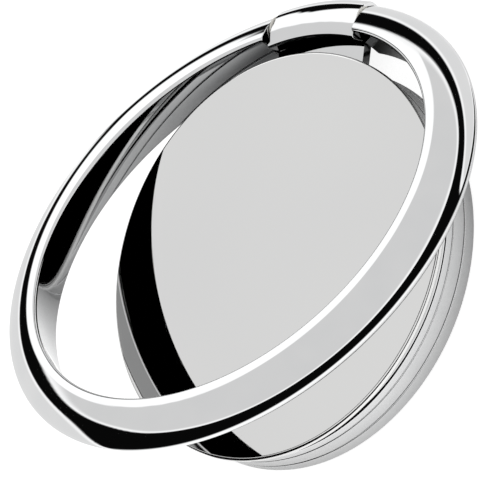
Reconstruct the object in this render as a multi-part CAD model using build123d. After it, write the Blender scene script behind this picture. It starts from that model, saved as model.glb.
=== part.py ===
from build123d import *
from math import acos, atan2, cos, degrees, hypot, sin
import os

# Phone ring holder: a round swivel base with a mirror face, and a finger ring on a friction hinge.
# Millimetres. The origin is the centre of the adhesive face, +Z is the face's normal, and +Y points
# from the disc's axis to the hinge.

# Layers of the disc, from the phone upwards
pad_thickness = 0.30
base_thickness = 1.05
swivel_gap = 0.05
turntable_thickness = 1.25
housing_height = 0.98
tape_thickness = 0.35
cover_thickness = 0.52

# Radii of the disc
cover_radius = 15.0
body_radius = 14.65
pad_margin = 0.5
tape_margin = 0.45
edge_round = 0.10
housing_edge_round = 0.40
face_edge_round = 0.20

# Finger ring: a tapered inner wall with rounded edges, and an elliptical outside
ring_inner_radius = 16.4
ring_edge_round = 0.25
ring_wall_taper = 0.45
ring_bulge = 2.90
ring_half_height = 1.77
ring_end_round = 0.08
ring_clear_below = 0.12
ring_rest_angle = 22.0

# Hinge between the ring's two ends
block_half_length = 4.0
hinge_setback = 1.15
hinge_rise = 0.58
pin_radius = 0.6
pin_grip = 2.0
pin_end_chamfer = 0.1
bush_wall = 0.22
bush_length = 2.4
bush_flange_width = 0.2
bush_flange = 0.1
hinge_clearance = 0.03
pin_relief = 0.1
flange_clearance = 0.06
neck_top_drop = 0.35
neck_bottom_rise = 0.15

# Swivel at the centre
rivet_radius = 2.0
rivet_head_radius = 4.4
rivet_head_height = 0.45
rivet_foot_flare = 0.5
rivet_foot_height = 0.4
bore_clearance = 0.05
glide_thickness = 0.35
glide_inner_radius = 2.8
glide_outer_radius = 9.0
glide_clearance = 0.03
glide_side_clearance = 0.2
flat_washer_thickness = 0.30
flat_washer_radius = 4.6
washer_bore_clearance = 0.1
spring_washer_thickness = 0.18
spring_washer_radius = 4.2
spring_washer_bow = 0.20
washer_stack_clearance = 0.02
cavity_clearance = 1.0

# Pegs that locate the housing on the turntable
peg_count = 3
peg_radius = 0.9
peg_height = 0.7
peg_circle_radius = 11.2

# Heights of the layers
base_bottom = pad_thickness
base_top = base_bottom + base_thickness
turntable_bottom = base_top + swivel_gap
turntable_top = turntable_bottom + turntable_thickness
housing_top = turntable_top + housing_height
cover_bottom = housing_top + tape_thickness
face_height = cover_bottom + cover_thickness

# Places on the hinge and the ring
crown_radius = ring_inner_radius + ring_edge_round
ring_outer_radius = crown_radius + ring_bulge
ring_mid_height = ring_clear_below + ring_half_height
hinge_y = ring_inner_radius + hinge_setback
hinge_z = ring_mid_height + hinge_rise
ring_end = block_half_length + bush_flange + flange_clearance
bush_outer_radius = pin_radius + hinge_clearance + bush_wall
pin_half_length = ring_end + pin_grip
hinge_axis = Axis((0, hinge_y, hinge_z), (-1, 0, 0))

# Heights of the swivel's stack
web_bottom = turntable_bottom + glide_thickness + glide_clearance - swivel_gap
flat_washer_top = turntable_top + flat_washer_thickness
spring_bottom = flat_washer_top + washer_stack_clearance
spring_top = spring_bottom + spring_washer_thickness + spring_washer_bow
rivet_head_bottom = spring_top + washer_stack_clearance
rivet_top = rivet_head_bottom + rivet_head_height
cavity_radius = max(rivet_head_radius, flat_washer_radius) + cavity_clearance


def disc(radius, bottom, top):
    """A plain round layer between two heights."""
    return Pos(0, 0, bottom) * Cylinder(radius, top - bottom, align=(Align.CENTER, Align.CENTER, Align.MIN))


def rim_at(solid, height):
    """The round edges of a layer at one height."""
    return solid.edges().filter_by(GeomType.CIRCLE).filter_by_position(Axis.Z, height, height)


def rounded_disc(radius, bottom, top, top_round=edge_round):
    """A round layer with rounded rims, so that two stacked layers show a fine line."""
    layer = disc(radius, bottom, top)
    layer = fillet(rim_at(layer, bottom), edge_round)
    return fillet(rim_at(layer, top), top_round)


def annulus(inner, outer, bottom, top):
    """A washer between two heights."""
    return disc(outer, bottom, top) - disc(inner, bottom, top)


def rod_x(radius, start, end):
    """A round bar on the hinge axis, from one X to another."""
    bar = Cylinder(radius, end - start, rotation=(0, 90, 0))
    return Pos((start + end) / 2, hinge_y, hinge_z) * bar


def slab_x(half_length):
    """The hinge's sector of the ring, cut by two planes square to the hinge axis."""
    depth = ring_outer_radius
    slab = Box(2 * half_length, depth, 4 * ring_half_height, align=(Align.CENTER, Align.MIN, Align.CENTER))
    return Pos(0, 0, ring_mid_height) * slab


def ring_profile_solid():
    """The whole ring, with the hinge's sector still in it, lying flat round the disc."""
    shoulder = ring_half_height - ring_edge_round
    start = -acos(ring_wall_taper / ring_bulge)
    low_x = ring_bulge * cos(start)
    low_z = ring_half_height * sin(start)
    normal_x = cos(start) / ring_bulge
    normal_z = sin(start) / ring_half_height
    inset = ring_edge_round / hypot(normal_x, normal_z)
    low_centre = (low_x - inset * normal_x, low_z - inset * normal_z)
    low_angle = degrees(atan2(normal_z, normal_x)) + 360
    lean = degrees(atan2(low_centre[0], shoulder - low_centre[1]))
    outside = EllipticalCenterArc(
        (0, 0), ring_bulge, ring_half_height, degrees(start), arc_size=90 - degrees(start)
    )
    upper_edge = CenterArc((0, shoulder), ring_edge_round, 90, 90 + lean)
    lower_edge = CenterArc(low_centre, ring_edge_round, 180 + lean, low_angle - 180 - lean)
    inner_wall = Line(upper_edge @ 1, lower_edge @ 0)
    section = Pos(crown_radius, ring_mid_height) * make_face([outside, upper_edge, inner_wall, lower_edge])
    return revolve(Plane.XZ * section, axis=Axis.Z)


def rounded_ends(solid):
    """Rounds the edges where a piece of the ring is cut square to the hinge axis."""
    return fillet(solid.faces().filter_by(Axis.X).edges(), ring_end_round)


def make_adhesive_pad():
    return disc(body_radius - pad_margin, 0, base_bottom)


def rivet_shape():
    """Shank, head and the foot that is staked flush in the base plate."""
    foot = Pos(0, 0, base_bottom) * Cone(
        rivet_radius + rivet_foot_flare, rivet_radius, rivet_foot_height,
        align=(Align.CENTER, Align.CENTER, Align.MIN),
    )
    shank = disc(rivet_radius, base_bottom, rivet_head_bottom)
    head = disc(rivet_head_radius, rivet_head_bottom, rivet_top)
    top_edge = head.edges().filter_by(GeomType.CIRCLE).sort_by(Axis.Z)[-1]
    return foot + shank + fillet(top_edge, rivet_head_height / 2)


def make_base_plate(rivet):
    return rounded_disc(body_radius, base_bottom, base_top) - rivet


def make_glide_washer():
    return annulus(glide_inner_radius, glide_outer_radius, base_top, base_top + glide_thickness)


def peg_places():
    return PolarLocations(peg_circle_radius, peg_count, start_angle=90)


def pegs():
    """Short round pegs under the housing."""
    peg = disc(peg_radius, turntable_top - peg_height, turntable_top)
    return [place * peg for place in peg_places()]


def make_turntable(whole_ring):
    plate = rounded_disc(body_radius, turntable_bottom, turntable_top)
    block = rounded_ends(whole_ring & slab_x(block_half_length))
    neck_bottom = turntable_bottom + neck_bottom_rise
    neck_top = turntable_top - neck_top_drop
    reach = disc(crown_radius + ring_wall_taper, neck_bottom, neck_top) & slab_x(block_half_length)
    neck = reach - disc(cavity_radius, neck_bottom, neck_top)
    recess = disc(glide_outer_radius + glide_side_clearance, turntable_bottom, web_bottom)
    bore = disc(rivet_radius + bore_clearance, turntable_bottom, turntable_top)
    body = plate + neck + block - recess - bore
    body -= pegs()
    body -= rod_x(pin_radius + pin_relief, -block_half_length, block_half_length)
    inner_end = block_half_length - bush_length
    for start, end in ((inner_end, block_half_length), (-block_half_length, -inner_end)):
        body -= rod_x(bush_outer_radius, start, end)
    return body


def make_flat_washer():
    bore = rivet_radius + washer_bore_clearance
    return annulus(bore, flat_washer_radius, turntable_top, flat_washer_top)


def make_spring_washer():
    """A washer bent to one gentle arc, resting on its two low sides."""
    half = spring_washer_radius
    bend = (half ** 2 + spring_washer_bow ** 2) / (2 * spring_washer_bow)
    centre = spring_bottom + spring_washer_bow - bend
    outer = Pos(0, centre) * Circle(bend + spring_washer_thickness)
    inner = Pos(0, centre) * Circle(bend)
    sheet = extrude(Plane.XZ * (outer - inner), amount=half, both=True)
    blank = annulus(rivet_radius + washer_bore_clearance, half, spring_bottom, spring_top)
    return sheet & blank


def make_top_housing():
    shell = rounded_disc(body_radius, turntable_top, housing_top, housing_edge_round)
    shell -= disc(cavity_radius, turntable_top, housing_top)
    for peg in pegs():
        shell += peg
    return shell


def make_cover_tape():
    return annulus(cavity_radius + tape_margin, body_radius - tape_margin, housing_top, cover_bottom)


def make_cover_plate():
    return rounded_disc(cover_radius, cover_bottom, face_height, face_edge_round)


def make_ring(whole_ring):
    ends_cut = rounded_ends(whole_ring - slab_x(ring_end))
    holes = rod_x(pin_radius, -pin_half_length, pin_half_length)
    return (ends_cut - holes).rotate(hinge_axis, ring_rest_angle)


def make_hinge_pin():
    pin = rod_x(pin_radius, -pin_half_length, pin_half_length)
    pin = chamfer(pin.edges().filter_by(GeomType.CIRCLE), pin_end_chamfer)
    return pin.rotate(hinge_axis, ring_rest_angle)


def make_hinge_bush(side):
    """A flanged sleeve, pressed into one end of the hinge block."""
    inner_end = block_half_length - bush_length
    outer_end = block_half_length + bush_flange
    sleeve = rod_x(bush_outer_radius, inner_end, block_half_length)
    flange = rod_x(bush_outer_radius + bush_flange_width, block_half_length, outer_end)
    bore = rod_x(pin_radius + hinge_clearance, inner_end, outer_end)
    bush = sleeve + flange - bore
    return bush if side > 0 else mirror(bush, about=Plane.YZ)


whole_ring = ring_profile_solid()
rivet = rivet_shape()
nodes = {
    "adhesive_pad": make_adhesive_pad(),
    "base_plate": make_base_plate(rivet),
    "centre_rivet": rivet,
    "glide_washer": make_glide_washer(),
    "turntable": make_turntable(whole_ring),
    "flat_washer": make_flat_washer(),
    "spring_washer": make_spring_washer(),
    "top_housing": make_top_housing(),
    "cover_tape": make_cover_tape(),
    "cover_plate": make_cover_plate(),
    "ring": make_ring(whole_ring),
    "hinge_pin": make_hinge_pin(),
    "hinge_bush_right": make_hinge_bush(1),
    "hinge_bush_left": make_hinge_bush(-1),
}

os.makedirs("parts", exist_ok=True)
for name, solid in nodes.items():
    export_step(solid, f"parts/{name}.step")
    print(f"{name}: {solid.volume:.2f} mm3")
print(f"ring outside {2 * ring_outer_radius:.1f} mm, face height {face_height:.2f} mm")
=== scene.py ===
# %% [markdown]
# A phone ring holder: a bright chromed disc that sticks to the back of a phone, with a finger ring on
# a hinge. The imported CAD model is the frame: its nodes are already in place, in metres, and move with
# their bodies. Everything below dresses that frame, builds a small studio round it and sets the camera.

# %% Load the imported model
import math
import bpy
from mathutils import Matrix, Vector


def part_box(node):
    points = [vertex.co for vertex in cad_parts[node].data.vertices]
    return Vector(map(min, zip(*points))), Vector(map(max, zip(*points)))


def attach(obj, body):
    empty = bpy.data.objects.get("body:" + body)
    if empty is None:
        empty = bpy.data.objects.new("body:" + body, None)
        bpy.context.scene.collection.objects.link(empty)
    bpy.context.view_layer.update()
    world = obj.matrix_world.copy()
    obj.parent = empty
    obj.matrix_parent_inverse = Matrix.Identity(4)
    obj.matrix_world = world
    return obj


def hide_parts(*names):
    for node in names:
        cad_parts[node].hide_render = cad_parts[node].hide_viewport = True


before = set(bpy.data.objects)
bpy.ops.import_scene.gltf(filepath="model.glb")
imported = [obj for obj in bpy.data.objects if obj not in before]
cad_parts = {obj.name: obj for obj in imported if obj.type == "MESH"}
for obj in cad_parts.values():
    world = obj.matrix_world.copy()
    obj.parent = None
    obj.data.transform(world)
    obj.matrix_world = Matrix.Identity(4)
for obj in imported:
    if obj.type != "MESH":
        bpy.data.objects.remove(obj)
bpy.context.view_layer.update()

MM = 0.001

# %% [markdown]
# Colours are written the way a colour picker shows them, as sRGB hex values. Blender's shaders work in
# linear light, so one function turns a hex value into the linear colour that a socket takes.

# %% Colours
def linear(hex_colour):
    """The linear RGBA colour of an sRGB hex value."""
    channels = [int(hex_colour[i:i + 2], 16) / 255 for i in (1, 3, 5)]
    return [c / 12.92 if c <= 0.04045 else ((c + 0.055) / 1.055) ** 2.4 for c in channels] + [1.0]


print("mid grey in linear light:", [round(c, 3) for c in linear("#808080")])

# %% [markdown]
# A material is a small tree of nodes. One helper adds any node: its settings are named arguments, and
# its inputs come as a dictionary, where a tuple of (node, output) is a link and the rest are values.
# Patterns are sized from the real thing: a noise texture repeats about once per unit at scale 1, and the
# objects are in metres, so the scale is one over the pattern's size in metres.

# %% Nodes and materials
def add_node(tree, kind, inputs=None, **settings):
    """Add a node, set its options, and fill or link its inputs."""
    node = tree.nodes.new(kind)
    for option, value in settings.items():
        setattr(node, option, value)
    for socket, value in (inputs or {}).items():
        if isinstance(value, tuple):
            tree.links.new(value[0].outputs[value[1]], node.inputs[socket])
        else:
            node.inputs[socket].default_value = value
    return node


def new_material(name):
    """An empty node material and its output node."""
    material = bpy.data.materials.new(name)
    material.use_nodes = True
    tree = material.node_tree
    tree.nodes.clear()
    return material, tree, tree.nodes.new("ShaderNodeOutputMaterial")


def per_metre(size_mm):
    """The texture scale that gives a pattern of this size, on objects measured in metres."""
    return 1 / (size_mm * MM)


print("a 1 mm pattern has a texture scale of", per_metre(1.0))

# %% [markdown]
# The ring, the turntable, the housing and the base are zinc die castings, polished and then plated with
# nickel and bright chromium. The plating copies the polish under it, so the eye sees a sharp mirror with
# a very slow waviness, and a faint haze in patches where the buffing wheel left finer or coarser lines.
# A glossy shader alone would be too perfect. A Principled shader at full metallic does this, with the haze
# on its roughness, the waviness as a bump of one or two micrometres, and a tint that drifts slightly, as
# the thickness of the plating does.

# %% Bright chrome on zinc
BUFFING_WAVE_MM = 2.5
BUFFING_HAZE_MM = 0.35
WAVE_HEIGHT_MM = 0.0015

chrome, tree, output = new_material("bright_chrome_on_zinc")
place = add_node(tree, "ShaderNodeTexCoord")
haze = add_node(tree, "ShaderNodeTexNoise",
                {"Vector": (place, "Object"), "Scale": per_metre(BUFFING_HAZE_MM), "Detail": 3.0})
wave = add_node(tree, "ShaderNodeTexNoise",
                {"Vector": (place, "Object"), "Scale": per_metre(BUFFING_WAVE_MM), "Detail": 1.0})
tint = add_node(tree, "ShaderNodeValToRGB", {"Fac": (wave, "Fac")})
tint.color_ramp.elements[0].color = linear("#E4E5E6")
tint.color_ramp.elements[1].color = linear("#ECECEC")
gloss = add_node(tree, "ShaderNodeMapRange", {"Value": (haze, "Fac"), "From Min": 0.3, "From Max": 0.7,
                                              "To Min": 0.012, "To Max": 0.04})
swell = add_node(tree, "ShaderNodeBump",
                 {"Height": (wave, "Fac"), "Strength": 0.2, "Distance": WAVE_HEIGHT_MM * MM})
skin = add_node(tree, "ShaderNodeBsdfPrincipled",
                {"Base Color": (tint, "Color"), "Roughness": (gloss, "Result"),
                 "Normal": (swell, "Normal"), "Metallic": 1.0})
tree.links.new(skin.outputs["BSDF"], output.inputs["Surface"])
print("made", chrome.name)

# %% [markdown]
# The face is a thin stainless steel cover, stamped flat and polished to a mirror. Steel is a little
# brighter and more neutral than the plating, and a flat stamping is flatter than a casting, so its
# waviness is longer and lower. Wiping leaves short hairlines that only show as a slight change of gloss.

# %% Mirror polished stainless steel
WIPING_MARK_MM = 0.8
STAMPING_WAVE_MM = 9.0

mirror, tree, output = new_material("mirror_polished_stainless_steel")
place = add_node(tree, "ShaderNodeTexCoord")
lengthen = add_node(tree, "ShaderNodeMapping", {"Vector": (place, "Object"), "Scale": [1.0, 0.12, 1.0]})
wiped = add_node(tree, "ShaderNodeTexNoise",
                 {"Vector": (lengthen, "Vector"), "Scale": per_metre(WIPING_MARK_MM), "Detail": 4.0})
wave = add_node(tree, "ShaderNodeTexNoise",
                {"Vector": (place, "Object"), "Scale": per_metre(STAMPING_WAVE_MM), "Detail": 0.0})
tint = add_node(tree, "ShaderNodeValToRGB", {"Fac": (wave, "Fac")})
tint.color_ramp.elements[0].color = linear("#EFEFEF")
tint.color_ramp.elements[1].color = linear("#F4F4F3")
gloss = add_node(tree, "ShaderNodeMapRange", {"Value": (wiped, "Fac"), "From Min": 0.35, "From Max": 0.7,
                                              "To Min": 0.012, "To Max": 0.035})
swell = add_node(tree, "ShaderNodeBump",
                 {"Height": (wave, "Fac"), "Strength": 0.2, "Distance": WAVE_HEIGHT_MM * MM})
skin = add_node(tree, "ShaderNodeBsdfPrincipled",
                {"Base Color": (tint, "Color"), "Roughness": (gloss, "Result"),
                 "Normal": (swell, "Normal"), "Metallic": 1.0})
tree.links.new(skin.outputs["BSDF"], output.inputs["Surface"])
print("made", mirror.name)

# %% [markdown]
# The rivet, the washers and the hinge pin are turned or stamped from plain bright steel. Turning leaves
# fine rings, so the grey metal has a satin sheen in bands. A wave texture in rings about Z gives the bands.
# At scale 1 it makes 20 waves in a length of tau, so its scale is worked out from that. Real turning
# marks are finer than 0.05 mm, so they are drawn coarser to show at all.

# %% Turned bright steel
TURNING_MARK_MM = 0.395
WAVES_PER_UNIT = 20 / math.tau

steel, tree, output = new_material("turned_bright_steel")
place = add_node(tree, "ShaderNodeTexCoord")
rings = add_node(tree, "ShaderNodeTexWave",
                 {"Vector": (place, "Object"), "Scale": per_metre(TURNING_MARK_MM) / WAVES_PER_UNIT,
                  "Distortion": 0.6, "Detail": 2.0, "Detail Scale": 2.0},
                 wave_type="RINGS", rings_direction="Z")
tint = add_node(tree, "ShaderNodeValToRGB", {"Fac": (rings, "Fac")})
tint.color_ramp.elements[0].color = linear("#A9A8A4")
tint.color_ramp.elements[1].color = linear("#BEBDB9")
gloss = add_node(tree, "ShaderNodeMapRange", {"Value": (rings, "Fac"), "To Min": 0.22, "To Max": 0.34})
skin = add_node(tree, "ShaderNodeBsdfPrincipled",
                {"Base Color": (tint, "Color"), "Roughness": (gloss, "Result"), "Metallic": 1.0})
tree.links.new(skin.outputs["BSDF"], output.inputs["Surface"])
print("made", steel.name)

# %% [markdown]
# The glide washer and the two hinge bushes are moulded from natural acetal, a slippery milk white
# plastic. The mould gives it a fine matt grain, which is a noise on the roughness and a shallow bump. Real
# acetal lets a little light in, but these pieces are small and hidden, so a plain shader is enough.

# %% Natural acetal
MOULD_GRAIN_MM = 0.12
GRAIN_DEPTH_MM = 0.004

acetal, tree, output = new_material("natural_acetal")
place = add_node(tree, "ShaderNodeTexCoord")
grain = add_node(tree, "ShaderNodeTexNoise",
                 {"Vector": (place, "Object"), "Scale": per_metre(MOULD_GRAIN_MM), "Detail": 3.0})
tint = add_node(tree, "ShaderNodeValToRGB", {"Fac": (grain, "Fac")})
tint.color_ramp.elements[0].color = linear("#E4E1DA")
tint.color_ramp.elements[1].color = linear("#EEECE6")
gloss = add_node(tree, "ShaderNodeMapRange", {"Value": (grain, "Fac"), "To Min": 0.38, "To Max": 0.55})
relief = add_node(tree, "ShaderNodeBump",
                  {"Height": (grain, "Fac"), "Strength": 0.3, "Distance": GRAIN_DEPTH_MM * MM})
skin = add_node(tree, "ShaderNodeBsdfPrincipled",
                {"Base Color": (tint, "Color"), "Roughness": (gloss, "Result"),
                 "Normal": (relief, "Normal"), "IOR": 1.48})
tree.links.new(skin.outputs["BSDF"], output.inputs["Surface"])
print("made", acetal.name)

# %% [markdown]
# The pad under the base and the tape under the face are black acrylic foam. Foam is closed cells about
# a tenth of a millimetre across, skinned by the liner it was cast on, so it is a dull near black with a
# fine pitted surface. A Voronoi texture gives the cells, on the colour and as a bump.

# %% Black acrylic foam
FOAM_CELL_MM = 0.15
CELL_DEPTH_MM = 0.02

foam, tree, output = new_material("black_acrylic_foam")
place = add_node(tree, "ShaderNodeTexCoord")
cells = add_node(tree, "ShaderNodeTexVoronoi",
                 {"Vector": (place, "Object"), "Scale": per_metre(FOAM_CELL_MM)})
tint = add_node(tree, "ShaderNodeValToRGB", {"Fac": (cells, "Distance")})
tint.color_ramp.elements[0].color = linear("#17171A")
tint.color_ramp.elements[1].color = linear("#242426")
relief = add_node(tree, "ShaderNodeBump",
                  {"Height": (cells, "Distance"), "Strength": 0.5, "Distance": CELL_DEPTH_MM * MM})
skin = add_node(tree, "ShaderNodeBsdfPrincipled",
                {"Base Color": (tint, "Color"), "Normal": (relief, "Normal"),
                 "Roughness": 0.75, "IOR": 1.48})
tree.links.new(skin.outputs["BSDF"], output.inputs["Surface"])
print("made", foam.name)

# %% [markdown]
# Each node of the CAD model carries the name of its finish in its material slot, so the finishes are
# handed out by that name.

# %% Put the finishes on the CAD nodes
finishes = {"chrome": chrome, "mirror_face": mirror, "steel": steel, "acetal": acetal, "adhesive": foam}
node_finish = {}
for name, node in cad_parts.items():
    node_finish[name] = node.material_slots[0].material.name
    node.material_slots[0].material = finishes[node_finish[name]]
print("finishes:", sorted(set(node_finish.values())))

# %% [markdown]
# A mirror shows every facet of a mesh. The CAD model's rounded edges are only a few facets wide, so the
# five bright pieces are drawn again here, from the same sizes, with many more facets and with the exact
# direction of the surface at each vertex. A subdivision modifier would also smooth them, but it shrinks
# rounded edges; exact normals keep the flat faces truly flat. One helper makes a piece from rows of
# points: each row holds places in millimetres and directions, and faces join each row to the next.

# %% A fine mesh from rows of points
def add_piece(name, node, body, sheets):
    """A mesh piece that stands for a CAD node. A sheet is a list of rows of (place, direction)."""
    places, directions, faces = [], [], []
    for rows in sheets:
        start = len(places)
        width = len(rows[0])
        for row in rows:
            places += [place * MM for place, _ in row]
            directions += [direction for _, direction in row]
        for i in range(len(rows) - 1):
            for k in range(width - 1):
                a = start + i * width + k
                faces.append((a, a + 1, a + width + 1, a + width))
    mesh = bpy.data.meshes.new(name)
    mesh.from_pydata(places, [], faces)
    for face in mesh.polygons:
        middle = sum((directions[v] for v in face.vertices), Vector())
        if face.normal.dot(middle) < 0:
            face.flip()
    mesh.polygons.foreach_set("use_smooth", [True] * len(faces))
    mesh.update()
    mesh.normals_split_custom_set_from_vertices([d.normalized() for d in directions])
    piece = bpy.data.objects.new(name, mesh)
    bpy.context.scene.collection.objects.link(piece)
    mesh.materials.append(finishes[node_finish[node]])
    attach(piece, body)
    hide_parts(node)
    print(name, "has", len(faces), "faces")
    return piece


print("a piece is made from sheets, a sheet from rows")

# %% [markdown]
# The disc's layers are turned shapes: an outline swung once round the axis. A screw modifier could turn
# them too, but working the points out gives the exact direction of the surface along with each place. An
# outline is a list of points, each with its radius, its height and the direction that the surface faces.

# %% Turned outlines
TURN_STEPS = 288
ROUND_STEPS = 8
ON_AXIS = 0.001


def lathe(outline):
    """Rows of points for an outline of (radius, height, out, up), turned round the disc's axis."""
    rows = []
    for step in range(TURN_STEPS + 1):
        a = math.tau * step / TURN_STEPS
        s, c = math.sin(a), math.cos(a)
        rows.append([(Vector((r * c, r * s, z)), Vector((out * c, out * s, up)))
                     for r, z, out, up in outline])
    return rows


def rounding(r, z, size, start, end):
    """Points of a rounded edge about a centre, between two angles in degrees."""
    angles = [math.radians(start + (end - start) * k / ROUND_STEPS) for k in range(ROUND_STEPS + 1)]
    return [(r + size * math.cos(a), z + size * math.sin(a), math.cos(a), math.sin(a)) for a in angles]


print("a turned piece has", TURN_STEPS, "steps")

# %% [markdown]
# The disc is four stacked layers. The cover plate is the widest, and its upper edge is rounded so that it
# catches a thin bright line. Under it stand the housing, with a softer upper edge, the turntable and the
# base, all of one radius, with edges only lightly rounded, so that the joints show as fine lines. Each
# outline runs from the axis along the top, round the rim and back along the underside.

# %% The stacked layers
EDGE_ROUND = 0.10
FACE_EDGE_ROUND = 0.20
HOUSING_EDGE_ROUND = 0.40


def layer_size(node):
    """Radius, bottom and top of a round CAD node, in millimetres."""
    low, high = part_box(node)
    return high[0] / MM, low[2] / MM, high[2] / MM


def rim(radius, bottom, top, top_round, inner_top, inner_bottom):
    """The outside of a layer, from a radius on its top to a radius on its underside."""
    return ([(inner_top, top, 0, 1)]
            + rounding(radius - top_round, top - top_round, top_round, 90, 0)
            + rounding(radius - EDGE_ROUND, bottom + EDGE_ROUND, EDGE_ROUND, 0, -90)
            + [(inner_bottom, bottom, 0, -1)])


def bore(radius, bottom, top):
    """The wall of a hole on the axis."""
    return [(radius, bottom, -1, 0), (radius, top, -1, 0)]


cover_radius, cover_bottom, cover_top = layer_size("cover_plate")
add_piece("cover_mirror", "cover_plate", "turntable",
          [lathe(rim(cover_radius, cover_bottom, cover_top, FACE_EDGE_ROUND, ON_AXIS, ON_AXIS))])

# %% [markdown]
# The base is the lowest layer, which stays still on the phone. The rivet goes through its middle, and the
# hole widens at the bottom, where the rivet's foot is spread to hold. It is three turned sheets: the rim
# with both flat sides, the widened mouth and the hole's wall.

# %% The base
RIVET_RADIUS = 2.0
RIVET_FLARE = 0.5
RIVET_FOOT = 0.4

body_radius, base_bottom, base_top = layer_size("base_plate")
foot_top = base_bottom + RIVET_FOOT
add_piece("base_shell", "base_plate", "base", [
    lathe(rim(body_radius, base_bottom, base_top, EDGE_ROUND, RIVET_RADIUS, RIVET_RADIUS + RIVET_FLARE)),
    lathe([(RIVET_RADIUS + RIVET_FLARE, base_bottom, -1, -1), (RIVET_RADIUS, foot_top, -1, -1)]),
    lathe(bore(RIVET_RADIUS, foot_top, base_top)),
])

# %% [markdown]
# The housing is a flat ring of zinc round the washers and the rivet's head. Three pegs cast on its
# underside stand in sockets of the turntable, so that the two turn as one. A peg is a short turned shape
# as well, made on the axis with fewer steps and then moved out to its place.

# %% The housing with its pegs
CAVITY_CLEARANCE = 1.0
PEG_RADIUS = 0.9
PEG_CIRCLE = 11.2
PEG_LENGTH = 0.7
PEG_ANGLES = (90, 210, 330)
PEG_EVERY = 12

cavity_radius = layer_size("flat_washer")[0] + CAVITY_CLEARANCE
plate_top = layer_size("flat_washer")[1]
housing_top = layer_size("top_housing")[2]
housing_sheets = [
    lathe(rim(body_radius, plate_top, housing_top, HOUSING_EDGE_ROUND, cavity_radius, cavity_radius)),
    lathe(bore(cavity_radius, plate_top, housing_top)),
]
peg_foot = plate_top - PEG_LENGTH
peg_outline = [(PEG_RADIUS, plate_top, 1, 0), (PEG_RADIUS, peg_foot, 1, 0)]
peg_end = [(PEG_RADIUS, peg_foot, 0, -1), (ON_AXIS, peg_foot, 0, -1)]
for peg_angle in PEG_ANGLES:
    a = math.radians(peg_angle)
    centre = Vector((PEG_CIRCLE * math.cos(a), PEG_CIRCLE * math.sin(a), 0))
    for outline in (peg_outline, peg_end):
        housing_sheets.append([[(place + centre, way) for place, way in row]
                               for row in lathe(outline)[::PEG_EVERY]])
add_piece("housing_shell", "top_housing", "turntable", housing_sheets)

# %% [markdown]
# The ring's section is like a letter D. Its outside is nearly half an ellipse. Its inner wall is
# straight and leans a little outwards towards the bottom, as a die casting needs so that it leaves the
# mould, and its two inner edges are rounded. The hinge block is a short length of the same section, so
# that block and ring close into one smooth hoop when the ring lies flat. A bevelled curve could sweep such
# a section, but it couldn't end on a slanted plane. So the section is worked out once, as points with
# their outward directions, and both pieces sweep it.

# %% The ring's section
INNER_RADIUS = 16.4
INNER_ROUND = 0.25
WALL_TAPER = 0.45
BULGE = 2.897
HALF_HEIGHT = 1.77
MID_HEIGHT = 1.89
CROWN_RADIUS = INNER_RADIUS + INNER_ROUND
OUTSIDE_STEPS = 64

start = -math.acos(WALL_TAPER / BULGE)
low_way = Vector((math.cos(start) / BULGE, math.sin(start) / HALF_HEIGHT)).normalized()
low_centre = Vector((BULGE * math.cos(start), HALF_HEIGHT * math.sin(start))) - INNER_ROUND * low_way
shoulder = HALF_HEIGHT - INNER_ROUND
lean = math.degrees(math.atan2(low_centre.x, shoulder - low_centre.y))
low_angle = math.degrees(math.atan2(low_way.y, low_way.x)) + 360

section = []
for k in range(OUTSIDE_STEPS + 1):
    a = start + (math.pi / 2 - start) * k / OUTSIDE_STEPS
    way = Vector((math.cos(a) / BULGE, math.sin(a) / HALF_HEIGHT)).normalized()
    section.append((BULGE * math.cos(a), HALF_HEIGHT * math.sin(a), way.x, way.y))
section += rounding(0, shoulder, INNER_ROUND, 90, 180 + lean)[1:]
section += rounding(low_centre.x, low_centre.y, INNER_ROUND, 180 + lean, low_angle)
print("section points:", len(section), "wall leans", round(lean, 2), "degrees")

# %% [markdown]
# Block and ring meet on planes square to the hinge axis, with a hole for the pin or its bush in each end. A
# boolean cut would leave the rounded edge round such an end to a bevel, which is hard to control on a
# curved section. Here each row of points is the section where such a plane cuts the hoop, and the rounded
# edge is a few more rows that draw in as they reach the end.

# %% Ends square to the hinge axis
HINGE_Y, HINGE_Z = 17.55, 2.47
END_ROUND = 0.08
END_STEPS = 6


def across(x, inset=0.0, outward=0.0):
    """The section where a plane square to the hinge axis cuts the hoop, drawn in by an inset."""
    row = []
    for p, q, out, up in section:
        r = CROWN_RADIUS + p - inset * out
        y = math.sqrt(r * r - x * x)
        side = Vector((out * x / r, out * y / r, up))
        way = side * math.sqrt(1 - outward ** 2) + Vector((outward * math.copysign(1, x), 0, 0))
        row.append((Vector((x, y, MID_HEIGHT + q - inset * up)), way))
    return row


def rounded_end(side, end, facing):
    """Rows from the full section to a flat end, which faces away from the disc's middle plane or to it."""
    rows = []
    for k in range(END_STEPS + 1):
        a = math.pi / 2 * k / END_STEPS
        x = end - facing * END_ROUND * (1 - math.sin(a))
        rows.append(across(side * x, END_ROUND * (1 - math.cos(a)), facing * math.sin(a)))
    return rows


def end_face(edge, hole_radius, way):
    """Two rows that close an end, from its edge to a hole on the hinge axis."""
    hole = []
    for place, _ in edge:
        spoke = Vector((0, place.y - HINGE_Y, place.z - HINGE_Z)).normalized()
        hole.append((Vector((place.x, HINGE_Y, HINGE_Z)) + spoke * hole_radius, way))
    return [[(place, way) for place, _ in edge], hole]


def bore_along_hinge(face, length):
    """Two rows for the wall of the hole behind an end face."""
    mouth = []
    for place, _ in face[1]:
        mouth.append((place, Vector((0, HINGE_Y - place.y, HINGE_Z - place.z))))
    return [mouth, [(place + Vector((length, 0, 0)), way) for place, way in mouth]]


print("the hinge axis lies", HINGE_Y, "mm behind the disc's axis and", HINGE_Z, "mm up")

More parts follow.
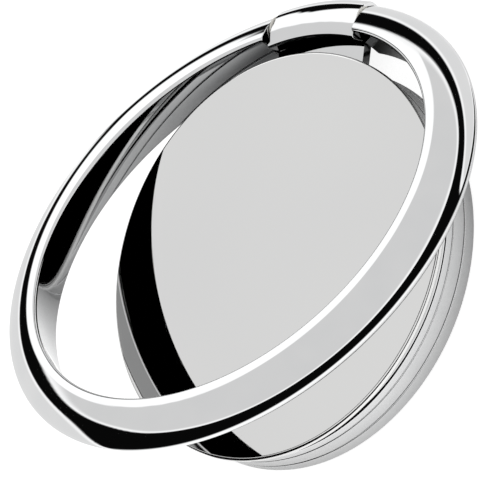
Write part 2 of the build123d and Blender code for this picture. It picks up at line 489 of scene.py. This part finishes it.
# %% [markdown]
# The hinge block is a short length of the hoop that stays on the turntable. It runs from one square end to
# the other, and the hole for the bushes goes right through it.

# %% The hinge block
BLOCK_HALF_LENGTH = 4.0
BLOCK_STEPS = 40
BUSH_RADIUS = 0.85

left_end = rounded_end(-1, BLOCK_HALF_LENGTH, 1)
right_end = rounded_end(1, BLOCK_HALF_LENGTH, 1)
block_span = BLOCK_HALF_LENGTH - END_ROUND
block_rows = [across(block_span * (2 * k / BLOCK_STEPS - 1)) for k in range(BLOCK_STEPS + 1)]
left_face = end_face(left_end[-1], BUSH_RADIUS, Vector((-1, 0, 0)))
right_face = end_face(right_end[-1], BUSH_RADIUS, Vector((1, 0, 0)))
block_sheets = [left_end, block_rows, right_end, left_face, right_face,
                bore_along_hinge(left_face, 2 * BLOCK_HALF_LENGTH)]
print("block rows:", len(block_rows))

# %% [markdown]
# The turntable is one casting with the block: a round plate, and a short neck that carries the block
# across the gap in which the ring folds. The plate's underside is recessed for the glide washer. The
# sockets for the housing's pegs lie between the two pieces, where nothing can see them, so the plate is
# drawn without them.

# %% The turntable with its neck and block
SWIVEL_GAP = 0.05
BORE_CLEARANCE = 0.05
RECESS_CLEARANCE = 0.2
WEB_CLEARANCE = 0.03
NECK_BOTTOM_RISE = 0.15
NECK_TOP_DROP = 0.35
NECK_START = 14.2
NECK_END = 16.9
NECK_STEPS = 20

plate_bottom = base_top + SWIVEL_GAP
web_bottom = layer_size("glide_washer")[2] + WEB_CLEARANCE
recess_radius = layer_size("glide_washer")[0] + RECESS_CLEARANCE
bore_radius = RIVET_RADIUS + BORE_CLEARANCE
turntable_sheets = [
    lathe(rim(body_radius, plate_bottom, plate_top, EDGE_ROUND, bore_radius, recess_radius)),
    lathe(bore(recess_radius, plate_bottom, web_bottom)),
    lathe([(recess_radius, web_bottom, 0, -1), (bore_radius, web_bottom, 0, -1)]),
    lathe(bore(bore_radius, web_bottom, plate_top)),
]
neck_low, neck_high = plate_bottom + NECK_BOTTOM_RISE, plate_top - NECK_TOP_DROP
neck_xs = [BLOCK_HALF_LENGTH * (2 * k / NECK_STEPS - 1) for k in range(NECK_STEPS + 1)]
for z, up in ((neck_low, -1), (neck_high, 1)):
    turntable_sheets.append([[(Vector((x, math.sqrt(r * r - x * x), z)), Vector((0, 0, up)))
                              for r in (NECK_START, NECK_END)] for x in neck_xs])
for x in (-BLOCK_HALF_LENGTH, BLOCK_HALF_LENGTH):
    turntable_sheets.append([[(Vector((x, math.sqrt(r * r - x * x), z)), Vector((x, 0, 0)))
                              for r in (NECK_START, NECK_END)] for z in (neck_low, neck_high)])
add_piece("turntable_casting", "turntable", "turntable", turntable_sheets + block_sheets)

# %% [markdown]
# The ring sweeps the same section nearly all the way round. It ends on two planes square to the hinge
# axis, so the sweep starts at a slightly different angle for each point of the section. It is swept lying
# flat and then turned about the hinge axis to the angle at which the CAD model rests.

# %% The ring
RING_END = 4.16
RING_STEPS = 400
REST_ANGLE = 22.0
PIN_RADIUS = 0.6


def round_the_hoop(t):
    """The section at a share of the way from the ring's right end to its left end."""
    row = []
    for p, q, out, up in section:
        r = CROWN_RADIUS + p
        first = math.acos((RING_END + END_ROUND) / r)
        a = first - t * (math.pi + 2 * first)
        way = Vector((out * math.cos(a), out * math.sin(a), up))
        row.append((Vector((r * math.cos(a), r * math.sin(a), MID_HEIGHT + q)), way))
    return row


def folded(rows):
    """Rows turned about the hinge axis to the rest angle."""
    return [[(hinge + fold @ (place - hinge), fold @ way) for place, way in row] for row in rows]


hinge = Vector((0, HINGE_Y, HINGE_Z))
fold = Matrix.Rotation(math.radians(-REST_ANGLE), 3, "X")
ring_sheets = [[round_the_hoop(k / RING_STEPS) for k in range(RING_STEPS + 1)]]
for side in (-1, 1):
    tip = rounded_end(side, RING_END, -1)
    ring_sheets += [tip, end_face(tip[-1], PIN_RADIUS, Vector((-side, 0, 0)))]
add_piece("finger_ring", "ring", "ring", [folded(rows) for rows in ring_sheets])

# %% [markdown]
# Chrome has no colour of its own to show: it shows the room. The room here is a dome of a studio, seen
# only in reflections: a light grey ceiling, a black curtain whose top edge is lower behind the hinge,
# a strip of light along that edge, two pale cards hung in front of the curtain, an upright lamp and a
# pale floor. The dome could be built from separate lamps and flags. One painted sphere is simpler, and
# the tone of each of its points is worked out from a few angles in degrees: azimuth 0 looks along -Y and
# 90 along +X. The curtain's edges and the width of the strip are given every 30 degrees round the set.

# %% The curtain's edges, by azimuth
CURTAIN_STEP = 30
CURTAIN_TOP = {-180: 13, -150: 13, -120: 25, -90: 42, -60: 47, -30: 46,
               0: 36.5, 30: 21, 60: 7, 90: 2.5, 120: 7, 150: 11.5}
CURTAIN_FOOT = {-180: -68, -150: -62, -120: -52, -90: -44, -60: -36, -30: -37,
                0: -43, 30: -53, 60: -58, 90: -65, 120: -71, 150: -72}
EDGE_LIGHT_WIDTH = {-180: 4, -150: 4, -120: 4, -90: 4, -60: 5, -30: 7,
                    0: 10, 30: 12, 60: 14, 90: 16, 120: 12, 150: 6}


def around(points, azimuth):
    """A smooth closed line through points that stand a step apart round the set."""
    start = math.floor(azimuth / CURTAIN_STEP) * CURTAIN_STEP
    t = (azimuth - start) / CURTAIN_STEP
    a, b, c, d = [points[(start + k * CURTAIN_STEP + 180) % 360 - 180] for k in (-1, 0, 1, 2)]
    return b + t / 2 * (c - a + t * (2 * a - 5 * b + 4 * c - d + t * (3 * (b - c) + d - a)))


print("curtain behind the camera:", round(around(CURTAIN_TOP, 69), 1), round(around(CURTAIN_FOOT, 69), 1))

# %% [markdown]
# The cards are ellipses on the dome. The one on the left is whole, and the wide one behind the hinge has
# its lower part cut off. Flat cards on stands would do the same, but angles on the dome are
# easier to set from what the metal shows. Each card has a function that says how far inside its edge a
# direction lies: 1 at its middle, 0 at its edge.

# %% The cards
LEFT_CARD_AZIMUTH, LEFT_CARD_ELEVATION = -91, -11
LEFT_CARD_HALF_WIDTH, LEFT_CARD_HALF_HEIGHT = 31, 37
BACK_CARD_AZIMUTH, BACK_CARD_ELEVATION = -178, -47
BACK_CARD_HALF_WIDTH, BACK_CARD_HALF_HEIGHT = 64, 49
BACK_CARD_CUT = -52


def ease(x, low, high):
    """Goes smoothly from 0 at low to 1 at high."""
    t = min(max((x - low) / (high - low), 0), 1)
    return t * t * (3 - 2 * t)


def turn(azimuth, centre):
    """The angle from one azimuth to another, the short way round."""
    return (azimuth - centre + 180) % 360 - 180


def left_card(azimuth, elevation):
    """How far inside the round card on the left a direction is."""
    return 1 - math.hypot(turn(azimuth, LEFT_CARD_AZIMUTH) / LEFT_CARD_HALF_WIDTH,
                          (elevation - LEFT_CARD_ELEVATION) / LEFT_CARD_HALF_HEIGHT)


def back_card(azimuth, elevation):
    """The same for the wide card behind the hinge."""
    oval = 1 - math.hypot(turn(azimuth, BACK_CARD_AZIMUTH) / BACK_CARD_HALF_WIDTH,
                          (elevation - BACK_CARD_ELEVATION) / BACK_CARD_HALF_HEIGHT)
    return min(oval, (elevation - BACK_CARD_CUT) / BACK_CARD_HALF_HEIGHT)


print("cards at", LEFT_CARD_AZIMUTH, "and", BACK_CARD_AZIMUTH, "degrees")

# %% [markdown]
# The lamp is an upright slab with rounded corners between the two cards. Its foot is slanted, and on the
# far side a step lifts it, so that its mirror image on the ring thins out towards the hinge.

# %% The lamp
LAMP_AZIMUTH, LAMP_ELEVATION = -138.5, 12
LAMP_HALF_WIDTH, LAMP_HALF_HEIGHT = 12, 28
LAMP_CORNER = 3
LAMP_FOOT, LAMP_FOOT_SLOPE, LAMP_FOOT_AZIMUTH = 6, -0.9, -140
LAMP_STEP, LAMP_STEP_AZIMUTH, LAMP_STEP_WIDTH = 15, -136.5, 2.5


def lamp(azimuth, elevation):
    """How far inside the lamp a direction is."""
    sideways = abs(turn(azimuth, LAMP_AZIMUTH) / LAMP_HALF_WIDTH)
    upright = abs((elevation - LAMP_ELEVATION) / LAMP_HALF_HEIGHT)
    slab = 1 - (sideways ** LAMP_CORNER + upright ** LAMP_CORNER) ** (1 / LAMP_CORNER)
    slant = LAMP_FOOT + LAMP_FOOT_SLOPE * turn(azimuth, LAMP_FOOT_AZIMUTH)
    step = ease(-turn(azimuth, LAMP_STEP_AZIMUTH), 0, LAMP_STEP_WIDTH)
    foot = (elevation - slant - (LAMP_STEP - slant) * step) / LAMP_HALF_HEIGHT
    return min(slab, foot)


print("the lamp's middle is", round(lamp(-138, 14), 2), "inside")

# %% [markdown]
# The tone of a direction starts from the ceiling or the curtain, and takes the brightest thing in front of
# it. A tone of 1 is plain white. Every edge is a little soft, as cloth, card and lamp edges
# are in a slightly wavy mirror: the curtain's by degrees, those of the cards and the lamp by a share of
# their size.

# %% The tone of a point of the dome
CEILING = 0.75
EDGE_LIGHT = 1.15
EDGE_LIGHT_CORE = 0.3
BLACK = 0.003
CARD = 0.84
CARD_RIM = 1.15
CARD_RIM_INSIDE, CARD_RIM_END = 0.04, 0.14
LAMP = 1.25
FLOOR = 1.20
CURTAIN_SOFTNESS = 0.7
FLOOR_SOFTNESS = 7
CARD_SOFTNESS = 0.02
LAMP_SOFTNESS = 0.05


def low_tone(azimuth, elevation):
    """The brightness of the floor, which fades into the curtain's foot, and of the card on the left."""
    floor = FLOOR * ease(around(CURTAIN_FOOT, azimuth) - elevation, -FLOOR_SOFTNESS, FLOOR_SOFTNESS)
    return max(floor, CARD * ease(left_card(azimuth, elevation), -CARD_SOFTNESS, CARD_SOFTNESS))


def tone(azimuth, elevation):
    """The brightness of the whole studio in one direction."""
    above = elevation - around(CURTAIN_TOP, azimuth)
    width = around(EDGE_LIGHT_WIDTH, azimuth)
    ceiling = CEILING + (EDGE_LIGHT - CEILING) * (1 - ease(above, EDGE_LIGHT_CORE * width, width))
    light = BLACK + ceiling * ease(above, -CURTAIN_SOFTNESS, CURTAIN_SOFTNESS)
    for inside in (left_card(azimuth, elevation), back_card(azimuth, elevation)):
        card = CARD_RIM + (CARD - CARD_RIM) * ease(inside, CARD_RIM_INSIDE, CARD_RIM_END)
        light = max(light, card * ease(inside, -CARD_SOFTNESS, CARD_SOFTNESS))
    light = max(light, LAMP * ease(lamp(azimuth, elevation), -LAMP_SOFTNESS, LAMP_SOFTNESS))
    return max(light, low_tone(azimuth, elevation))


print("tone the face mirrors:", round(tone(-111, 46), 3))

# %% [markdown]
# The dome's mesh has a vertex for each degree, and each vertex keeps its tone as an attribute that the
# dome's paint reads. The camera looks past the dome. A mirror that shows another mirror looks far darker
# than the first reflection does, here as in the picture. So each vertex keeps a second tone, in which only
# the floor and the low card are left, and those dimmed. The Light Path node tells how many mirrors a ray
# has met, and from the second mirror on the paint takes the second tone.

# %% The dome's points and tones
DOME_RADIUS = 0.6
SECOND_MIRROR = 0.4

dome_points = []
dome_tones = []
second_tones = []
for row in range(181):
    e = math.radians(row - 90)
    for azimuth in range(-180, 180):
        a = math.radians(azimuth)
        direction = Vector((math.sin(a) * math.cos(e), -math.cos(a) * math.cos(e), math.sin(e)))
        dome_points.append(direction * DOME_RADIUS)
        dome_tones.append(tone(azimuth, row - 90))
        second_tones.append(SECOND_MIRROR * low_tone(azimuth, row - 90))
print("brightest tone", max(dome_tones), "and in a second mirror", max(second_tones))

# %% Build the dome
dome_faces = [(r * 360 + c, r * 360 + (c + 1) % 360, (r + 1) * 360 + (c + 1) % 360, (r + 1) * 360 + c)
              for r in range(180) for c in range(360)]
dome_mesh = bpy.data.meshes.new("studio_dome")
dome_mesh.from_pydata(dome_points, [], dome_faces)
dome_mesh.attributes.new("tone", "FLOAT", "POINT").data.foreach_set("value", dome_tones)
dome_mesh.attributes.new("second_tone", "FLOAT", "POINT").data.foreach_set("value", second_tones)
dome = bpy.data.objects.new("studio_dome", dome_mesh)
bpy.context.scene.collection.objects.link(dome)
dome.visible_camera = False
dome.visible_shadow = False
print("dome with", len(dome_faces), "faces")

# %% Paint the dome
paint, tree, output = new_material("dome_paint")
path = add_node(tree, "ShaderNodeLightPath")
first = add_node(tree, "ShaderNodeAttribute", attribute_name="tone")
second = add_node(tree, "ShaderNodeAttribute", attribute_name="second_tone")
seen = add_node(tree, "ShaderNodeMapRange",
                {"Value": (path, "Glossy Depth"), "From Min": 1.0, "From Max": 2.0,
                 "To Min": (first, "Fac"), "To Max": (second, "Fac")})
shine = add_node(tree, "ShaderNodeEmission", {"Strength": (seen, "Result")})
tree.links.new(shine.outputs["Emission"], output.inputs["Surface"])
paint.cycles.emission_sampling = "NONE"
dome_mesh.materials.append(paint)
print("painted with", paint.name)

# %% [markdown]
# The floor is matt white paper. The camera sees one large sheet, lit so evenly that it stays white right
# up to the object. The metal sees a second, small sheet just above it, because the dome already paints
# the floor further out. Where the object stands close over that sheet, little light gets in, and an
# Ambient Occlusion node darkens it there, as a real sheet is dark in a narrow gap.

# %% Sheets of paper
SHEET_STEPS = 96


def round_sheet(name, radius, drop, material):
    """A round sheet of paper that belongs to the stage."""
    edge = [Vector((math.cos(a), math.sin(a), 0)) * radius - Vector((0, 0, drop))
            for a in (math.tau * k / SHEET_STEPS for k in range(SHEET_STEPS))]
    mesh = bpy.data.meshes.new(name)
    mesh.from_pydata(edge, [], [tuple(range(SHEET_STEPS))])
    mesh.materials.append(material)
    sheet = bpy.data.objects.new(name, mesh)
    bpy.context.scene.collection.objects.link(sheet)
    return sheet


def white_paper(name, glow):
    """Matt white paper that glows and can be seen from above only: material, tree and shader."""
    material, tree, output = new_material(name)
    sheet = add_node(tree, "ShaderNodeBsdfPrincipled",
                     {"Base Color": linear("#B0B0B0"), "Roughness": 0.9,
                      "Emission Color": linear("#FFFFFF"), "Emission Strength": glow})
    side = add_node(tree, "ShaderNodeNewGeometry")
    clear = add_node(tree, "ShaderNodeBsdfTransparent")
    either = add_node(tree, "ShaderNodeMixShader",
                      {0: (side, "Backfacing"), 1: (sheet, "BSDF"), 2: (clear, "BSDF")})
    tree.links.new(either.outputs["Shader"], output.inputs["Surface"])
    material.cycles.emission_sampling = "NONE"
    return material, tree, sheet


print("a sheet has", SHEET_STEPS, "corners")

# %% The floor and the sheet near the part
FLOOR_RADIUS = 0.5
FLOOR_DROP = 0.0002
PAPER_RADIUS = 0.021
PAPER_GLOW = 0.9
GAP_REACH = 0.012
DARK_GAP, OPEN_GAP = 0.2, 0.9

floor_paper = white_paper("white_floor_paper", PAPER_GLOW)[0]
floor = round_sheet("floor", FLOOR_RADIUS, FLOOR_DROP, floor_paper)
floor.visible_glossy = False

near_paper, tree, sheet = white_paper("white_near_paper", PAPER_GLOW)
shade = add_node(tree, "ShaderNodeAmbientOcclusion", {"Distance": GAP_REACH}, samples=8)
glow = add_node(tree, "ShaderNodeMapRange", {"Value": (shade, "AO"), "From Min": DARK_GAP,
                                             "From Max": OPEN_GAP, "To Min": 0.0, "To Max": PAPER_GLOW})
tree.links.new(glow.outputs["Result"], sheet.inputs["Emission Strength"])
paper = round_sheet("paper", PAPER_RADIUS, FLOOR_DROP / 2, near_paper)
paper.visible_camera = False
print("floor", FLOOR_RADIUS, "m and paper", PAPER_RADIUS, "m in radius")

# %% [markdown]
# Beyond the floor the camera looks into a plain white world, which also lights the floor softly from all
# sides. Lamps would give the white paper a bright and a dark side.

# %% The white beyond
world = bpy.data.worlds.new("white_beyond")
bpy.context.scene.world = world
world.use_nodes = True
world.node_tree.nodes["Background"].inputs["Color"].default_value = linear("#FFFFFF")
world.node_tree.nodes["Background"].inputs["Strength"].default_value = 1.0
print("world", world.name)

# %% [markdown]
# The picture is taken from far away with a long lens, so the face is nearly a pure ellipse. The camera
# looks down at 46 degrees from the side, and is rolled, so that the hinge is at the top of the frame. Its
# three axes are worked out from those angles. It aims at a point a little beside the middle of the face.

# %% The camera
VIEW_AZIMUTH = 68.96
VIEW_ELEVATION = 46.18
VIEW_ROLL = 67.55
VIEW_DISTANCE_MM = 849.6
AIM_RIGHT_MM = -1.833
AIM_UP_MM = 1.149
IMAGE_WIDTH = 500
FOCAL_PIXELS = 12000

azimuth, elevation = math.radians(VIEW_AZIMUTH), math.radians(VIEW_ELEVATION)
level = math.cos(elevation)
back = Vector((math.sin(azimuth) * level, -math.cos(azimuth) * level, math.sin(elevation)))
level_right = Vector((0, 0, 1)).cross(back).normalized()
level_up = back.cross(level_right)
roll = math.radians(VIEW_ROLL)
up = level_up * math.cos(roll) + level_right * math.sin(roll)
right = up.cross(back)
print("camera axes", [[round(v, 4) for v in axis] for axis in (right, up, back)])

# %% [markdown]
# The lens is given by its focal length in pixels, which the sensor's width turns into millimetres. The view
# transform is Standard, so that white paper comes out as plain white.

# %% Set the camera
face_centre = Vector((0, 0, cover_top * MM))
aim = face_centre + right * AIM_RIGHT_MM * MM + up * AIM_UP_MM * MM
lens = bpy.data.cameras.new("camera")
lens.lens = FOCAL_PIXELS * lens.sensor_width / IMAGE_WIDTH
lens.clip_end = 10
camera = bpy.data.objects.new("camera", lens)
turned = Matrix((right, up, back)).transposed().to_4x4()
camera.matrix_world = Matrix.Translation(aim + back * VIEW_DISTANCE_MM * MM) @ turned
bpy.context.scene.collection.objects.link(camera)
bpy.context.scene.camera = camera
bpy.context.scene.view_settings.view_transform = "Standard"
print("lens", round(lens.lens), "mm")
